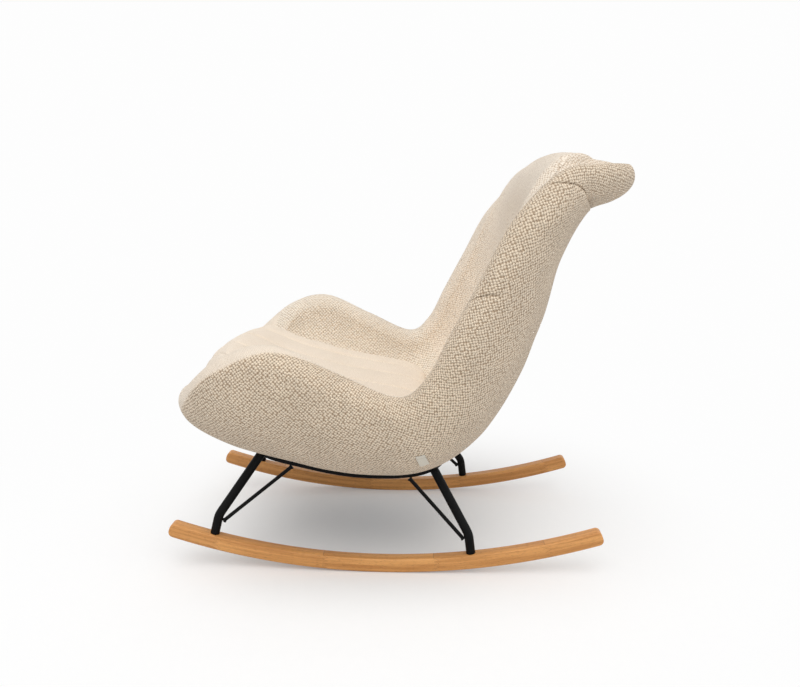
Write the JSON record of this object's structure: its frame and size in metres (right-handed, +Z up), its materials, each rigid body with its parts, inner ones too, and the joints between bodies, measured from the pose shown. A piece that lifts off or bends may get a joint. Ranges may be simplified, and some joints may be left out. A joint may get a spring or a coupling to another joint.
{
  "type": "rocking accent chair",
  "caption": "Padded bucket-shell lounge chair with low curved arms, a flared head and a loose channelled cushion, on a bent steel-rod underframe and curved wooden rocker runners.",
  "frame": {"origin": "middle of the chair's footprint box, on the floor", "axes": "+Z up, -Y the way the sitter faces, +X the sitter's left; the chair is mirror-symmetric across x = 0 except for the small sewn tab"},
  "size_m": [0.786, 0.9483, 0.8445],
  "materials": {
    "oak": "clear satin lacquer",
    "black_steel": "black powder coat",
    "zinc_steel": "zinc plated",
    "plywood": "bare",
    "hardwood": "bare",
    "beige_weave": "chunky basket weave over foam",
    "pale_weave": "finer basket weave over foam",
    "cream_cloth": "plain woven tape",
    "black_cloth": "spun-bonded cloth"
  },
  "bodies": {
    "chair": {"runner_left": "oak", "runner_right": "oak", "seat_ring": "black_steel", "leg_front_left": "black_steel", "leg_front_right": "black_steel", "leg_rear_left": "black_steel", "leg_rear_right": "black_steel", "brace_front_left": "black_steel", "brace_front_right": "black_steel", "brace_rear_left": "black_steel", "brace_rear_right": "black_steel", "mount_plate_front_left": "black_steel", "mount_plate_front_right": "black_steel", "mount_plate_rear_left": "black_steel", "mount_plate_rear_right": "black_steel", "foot_insert_front_left": "zinc_steel", "foot_insert_front_right": "zinc_steel", "foot_insert_rear_left": "zinc_steel", "foot_insert_rear_right": "zinc_steel", "runner_bolt_front_left": "zinc_steel", "runner_bolt_front_right": "zinc_steel", "runner_bolt_rear_left": "zinc_steel", "runner_bolt_rear_right": "zinc_steel", "shell_bolt_front_left": "zinc_steel", "shell_bolt_front_right": "zinc_steel", "shell_bolt_rear_left": "zinc_steel", "shell_bolt_rear_right": "zinc_steel", "t_nut_front_left": "zinc_steel", "t_nut_front_right": "zinc_steel", "t_nut_rear_left": "zinc_steel", "t_nut_rear_right": "zinc_steel", "shell_core": "plywood", "batten_front": "hardwood", "batten_rear": "hardwood", "outside_bowl": "beige_weave", "outside_back": "beige_weave", "inside_bowl": "beige_weave", "inside_back": "beige_weave", "sewn_tab": "cream_cloth", "dust_cover": "black_cloth"},
    "seat_cushion": {"seat_cushion": "pale_weave"}
  },
  "joints": [
    {"name": "cushion_lift", "type": "slide", "parent": "chair", "child": "seat_cushion", "axis": [0, 0, 1], "range_m": [0, 0.4]}
  ]
}
